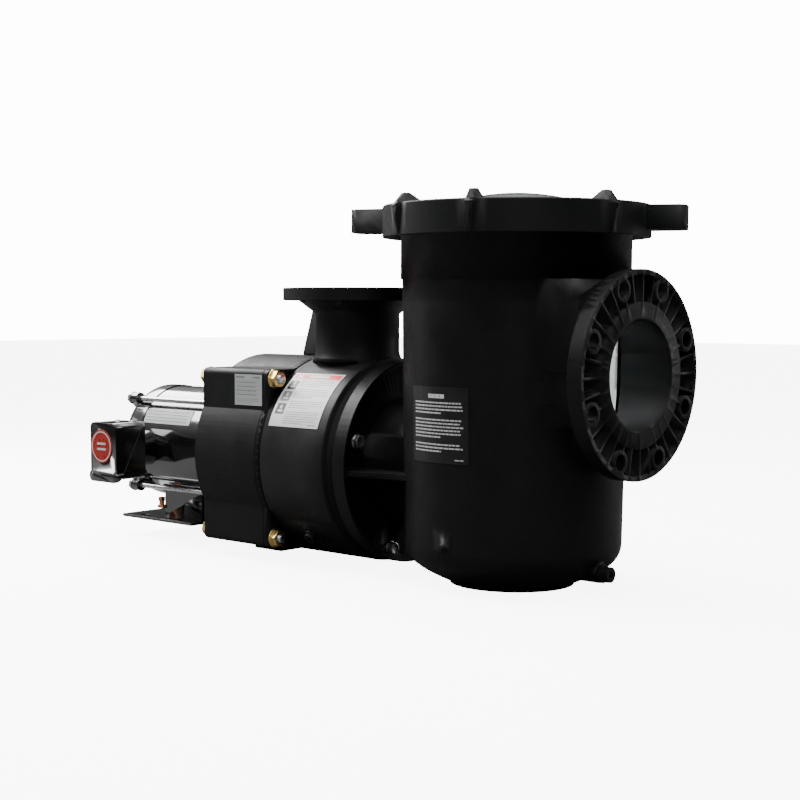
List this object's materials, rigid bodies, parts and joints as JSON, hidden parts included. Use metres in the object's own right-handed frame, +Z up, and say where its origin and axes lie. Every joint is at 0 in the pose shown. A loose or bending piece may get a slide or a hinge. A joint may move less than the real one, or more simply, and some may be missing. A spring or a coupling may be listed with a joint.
{
  "type": "pool pump",
  "caption": "Large pool pump with a flanged strainer pot, clear lid under a locking ring, flanged volute, square bracket and electric motor.",
  "frame": {"origin": "on the base plane, at the centre of the strainer pot's round foot", "axes": "+X out of the suction flange along the shaft line, +Z up out of the lid and the discharge flange, motor towards -X, conduit box towards -Y"},
  "size_m": [0.989, 0.372, 0.546],
  "materials": {
    "pot_plastic": "satin",
    "volute_plastic": "satin",
    "ring_plastic": "satin",
    "motor_paint": "gloss",
    "clear_lid": "clear",
    "white_plastic": "satin",
    "rubber": "matte",
    "steel": "satin",
    "yellow_zinc": "satin",
    "brass": "satin",
    "ceramic": "gloss",
    "carbon": "matte",
    "impeller_plastic": "satin",
    "wear_plastic": "satin",
    "laminations": "satin",
    "copper_winding": "satin",
    "copper": "satin",
    "aluminium": "satin",
    "label_white": "satin",
    "label_black": "satin",
    "label_grey": "satin",
    "plate_silver": "brushed",
    "badge_red": "gloss",
    "terminal_plastic": "matte"
  },
  "bodies": {
    "pump": {"strainer_pot": "pot_plastic", "caution_label": "label_black", "pot_gasket": "rubber", "pot_flange_bolts": "steel", "flange_inserts": "brass", "volute": "volute_plastic", "warning_label": "label_white", "wear_ring": "wear_plastic", "seal_plate": "volute_plastic", "seal_plate_oring": "rubber", "seal_seat": "ceramic", "motor_bracket": "volute_plastic", "rating_label": "label_grey", "bracket_studs": "steel", "bracket_nuts": "yellow_zinc", "motor_bolts": "steel", "bearing_outer_rings": "steel", "wave_spring": "steel", "stator_core": "laminations", "stator_windings": "copper_winding", "motor_shell": "motor_paint", "front_end_bell": "motor_paint", "rear_end_bell": "motor_paint", "through_bolts": "steel", "through_bolt_nuts": "steel", "motor_base": "motor_paint", "saddle_screws": "steel", "ground_lug": "copper", "conduit_box": "motor_paint", "conduit_cover": "motor_paint", "cover_gasket": "rubber", "cover_screws": "steel", "terminal_block": "terminal_plastic", "cover_badge": "badge_red", "nameplate": "plate_silver"},
    "lid": {"lid": "clear_lid", "lid_oring": "rubber"},
    "lock_ring": {"lock_ring": "ring_plastic"},
    "basket": {"basket": "white_plastic"},
    "basket_bail": {"basket_bail": "steel"},
    "rotor": {"shaft": "steel", "slinger": "rubber", "rotor_core": "laminations", "rotor_fan": "aluminium", "bearing_inner_rings": "steel", "bearing_balls": "steel", "impeller": "impeller_plastic", "impeller_screw": "steel", "seal_head": "carbon", "seal_spring": "steel"},
    "pot_drain_plug": {"pot_drain_plug": "pot_plastic", "pot_drain_oring": "rubber"},
    "volute_drain_plug": {"volute_drain_plug": "volute_plastic", "volute_drain_oring": "rubber"}
  },
  "joints": [
    {"name": "shaft_spin", "type": "hinge", "parent": "pump", "child": "rotor", "pos_m": [-0.5, 0, 0.159], "axis": [1, 0, 0], "continuous": true},
    {"name": "lid_lift", "type": "slide", "parent": "pump", "child": "lid", "axis": [0, 0, 1], "range_m": [0, 0.6]},
    {"name": "ring_turn", "type": "hinge", "parent": "lid", "child": "lock_ring", "pos_m": [0, 0, 0.5], "axis": [0, 0, 1], "range_deg": [0, 30]},
    {"name": "basket_lift", "type": "slide", "parent": "pump", "child": "basket", "axis": [0, 0, 1], "range_m": [0, 0.45]},
    {"name": "bail_swing", "type": "hinge", "parent": "basket", "child": "basket_bail", "pos_m": [0, 0, 0.434], "axis": [0, 1, 0], "range_deg": [0, 90.1]},
    {"name": "pot_plug_pull", "type": "slide", "parent": "pump", "child": "pot_drain_plug", "axis": [1, 0, 0], "range_m": [0, 0.03]},
    {"name": "volute_plug_pull", "type": "slide", "parent": "pump", "child": "volute_drain_plug", "axis": [0, -0.7193, -0.6947], "range_m": [0, 0.025]}
  ],
  "couplings": [
    {"joint": "basket_lift", "follows": "lid_lift", "ratio": 0.75},
    {"joint": "bail_swing", "follows": "lid_lift", "rad_per_m": 2.618}
  ]
}
